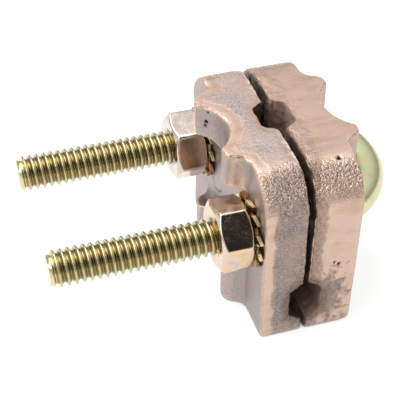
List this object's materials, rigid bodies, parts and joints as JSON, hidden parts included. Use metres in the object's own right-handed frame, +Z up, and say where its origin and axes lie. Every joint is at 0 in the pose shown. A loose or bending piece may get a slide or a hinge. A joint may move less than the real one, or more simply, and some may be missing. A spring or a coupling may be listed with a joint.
{
  "type": "ground rod clamp",
  "caption": "Two cast jaws drawn together on a U-bolt, bonding a round ground rod in the bend to a cable held in the crossed grooves between the jaws.",
  "frame": {"origin": "on the resting plane, on the line midway between the legs, straight below the axis of the U-bolt's bend", "axes": "+Z up; +X along the legs, out through the bend; +Y from the front leg to the back leg"},
  "size_m": [0.0628, 0.0388, 0.0328],
  "materials": {
    "cast_bronze": "as-cast bronze, outer edges belt ground",
    "zinc_plated_bolt": "yellow zinc plated steel, rolled thread",
    "zinc_plated_nut": "yellow zinc plated steel",
    "zinc_plated_washer": "yellow zinc plated spring steel"
  },
  "bodies": {
    "u_bolt": {"u_bolt": "zinc_plated_bolt"},
    "rod_jaw": {"rod_side_jaw": "cast_bronze"},
    "nut_jaw": {"nut_side_jaw": "cast_bronze"},
    "front_washer": {"front_lock_washer": "zinc_plated_washer"},
    "back_washer": {"back_lock_washer": "zinc_plated_washer"},
    "front_nut": {"front_hex_nut": "zinc_plated_nut"},
    "back_nut": {"back_hex_nut": "zinc_plated_nut"}
  },
  "joints": [
    {"name": "nut_jaw_slide", "type": "slide", "parent": "u_bolt", "child": "nut_jaw", "axis": [-1, 0, 0], "range_m": [0, 0.02]},
    {"name": "rod_jaw_slide", "type": "slide", "parent": "u_bolt", "child": "rod_jaw", "axis": [-1, 0, 0], "range_m": [0, 0.01501]},
    {"name": "front_washer_slide", "type": "slide", "parent": "u_bolt", "child": "front_washer", "axis": [-1, 0, 0], "range_m": [0, 0.02668]},
    {"name": "back_washer_slide", "type": "slide", "parent": "u_bolt", "child": "back_washer", "axis": [-1, 0, 0], "range_m": [0, 0.02668]},
    {"name": "front_nut_spin", "type": "hinge", "parent": "front_washer", "child": "front_nut", "pos_m": [-0.016, -0.0129, 0.0198], "axis": [-1, 0, 0], "range_deg": [0, 7561]},
    {"name": "back_nut_spin", "type": "hinge", "parent": "back_washer", "child": "back_nut", "pos_m": [-0.016, 0.0129, 0.0198], "axis": [-1, 0, 0], "range_deg": [0, 7561]}
  ],
  "couplings": [
    {"joint": "rod_jaw_slide", "follows": "nut_jaw_slide", "ratio": 0.75},
    {"joint": "front_washer_slide", "follows": "nut_jaw_slide", "ratio": 1.3335},
    {"joint": "back_washer_slide", "follows": "nut_jaw_slide", "ratio": 1.3335},
    {"joint": "front_nut_spin", "follows": "nut_jaw_slide", "rad_per_m": 6597.3},
    {"joint": "back_nut_spin", "follows": "nut_jaw_slide", "rad_per_m": 6597.3}
  ]
}
